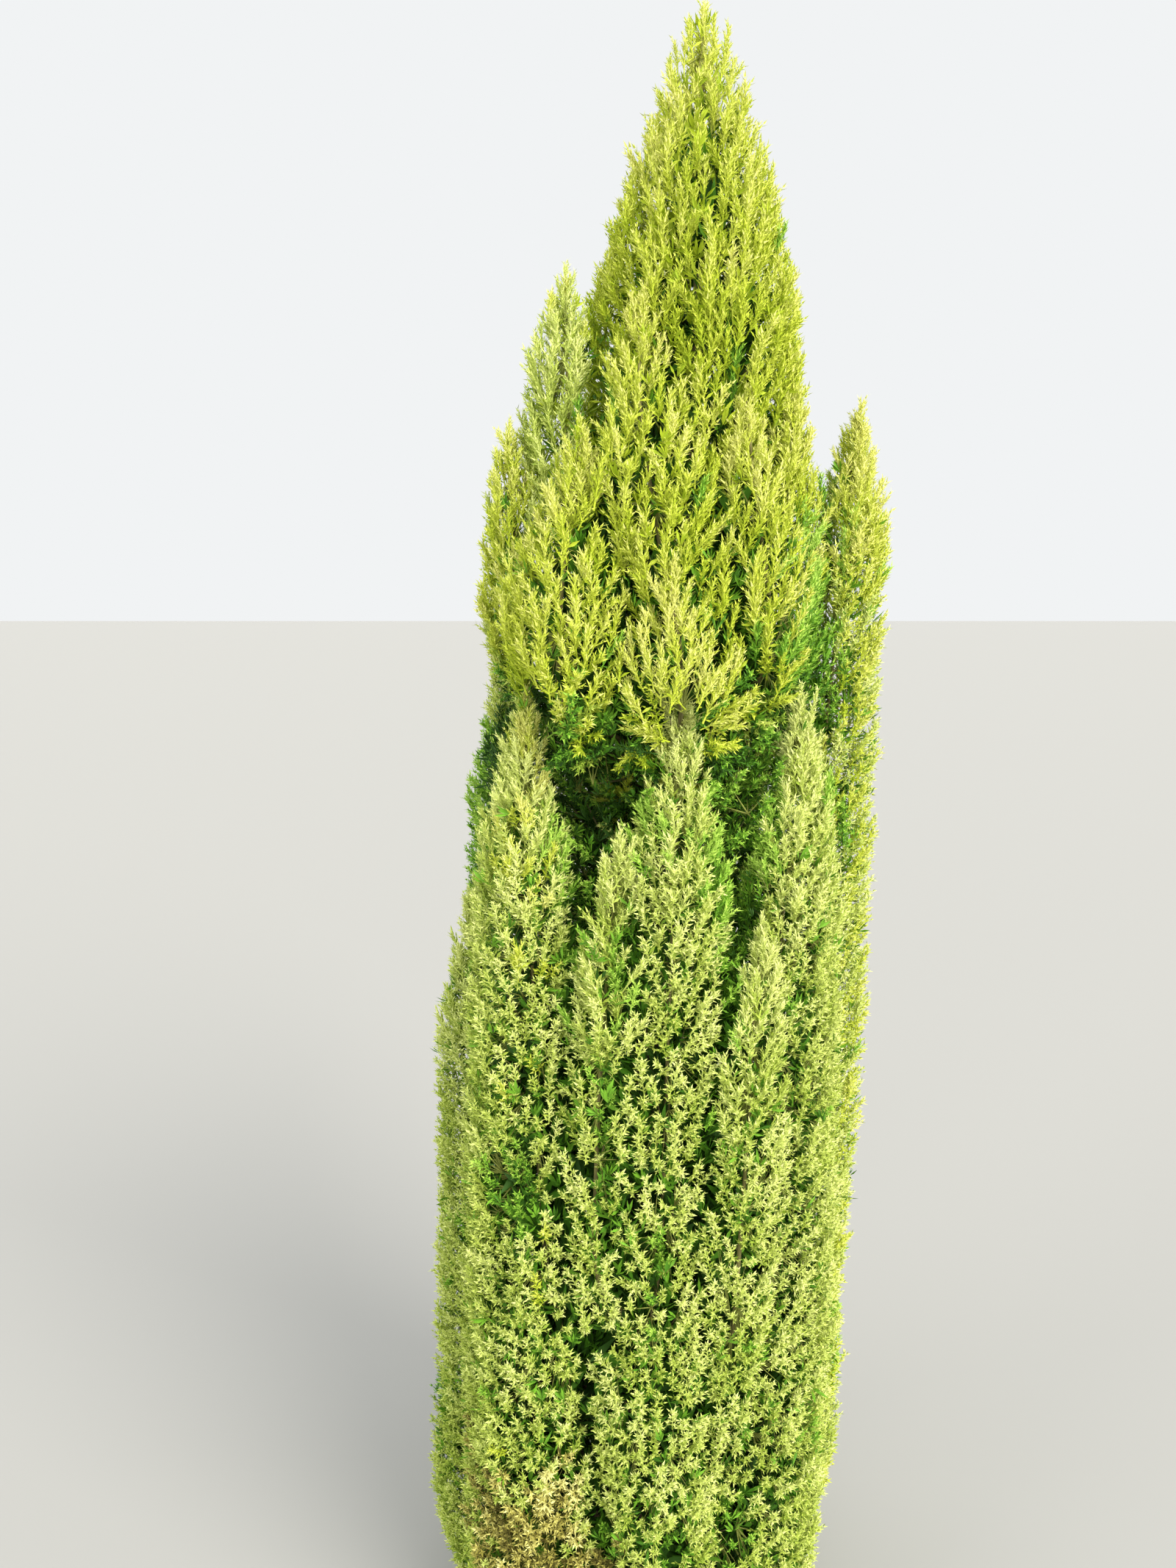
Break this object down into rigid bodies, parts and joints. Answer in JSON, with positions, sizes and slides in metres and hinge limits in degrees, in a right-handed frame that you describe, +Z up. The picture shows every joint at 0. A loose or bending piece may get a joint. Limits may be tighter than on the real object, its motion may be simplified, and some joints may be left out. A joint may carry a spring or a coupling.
{
  "type": "golden cypress tree",
  "caption": "Narrow upright young cypress with golden-green foliage in crowded pointed spires round one hidden trunk, rooted at a flat cut at ground level.",
  "frame": {"origin": "middle of the trunk's flat cut at ground level", "axes": "+Z up along the trunk to the tip, -Y towards the front of the tree, +X to the right seen from the front"},
  "size_m": [0.5964, 0.5727, 2.14],
  "materials": {
    "bark": "fissured, fibrous reddish grey-brown bark",
    "gold_foliage": "golden yellow-green shoots of the upper crown, matt with a slight waxy gloss",
    "green_foliage": "yellow-green bushy sprays of the lower crown, matt"
  },
  "bodies": {
    "root": {"trunk": "bark", "left_front_bough": "bark", "right_back_bough": "bark", "centre_front_bough": "bark", "back_left_bough": "bark", "right_bough": "bark", "left_bough": "bark", "back_right_bough": "bark", "right_front_bough": "bark", "left_back_bough": "bark", "main_spire": "gold_foliage", "left_upper_spire": "gold_foliage", "left_shoulder": "gold_foliage", "front_shoulder": "gold_foliage", "right_shoulder": "gold_foliage", "back_shoulder": "gold_foliage", "left_front_shoulder": "gold_foliage", "right_front_shoulder": "gold_foliage", "low_front_shoulder": "gold_foliage", "left_front_spire": "green_foliage", "centre_front_spire": "green_foliage", "right_front_spire": "green_foliage", "right_spire": "green_foliage", "left_spire": "green_foliage", "left_back_spire": "green_foliage", "back_left_spire": "green_foliage", "back_right_spire": "green_foliage", "right_back_spire": "green_foliage", "small_front_spire": "green_foliage", "small_right_spire": "green_foliage"}
  },
  "joints": []
}
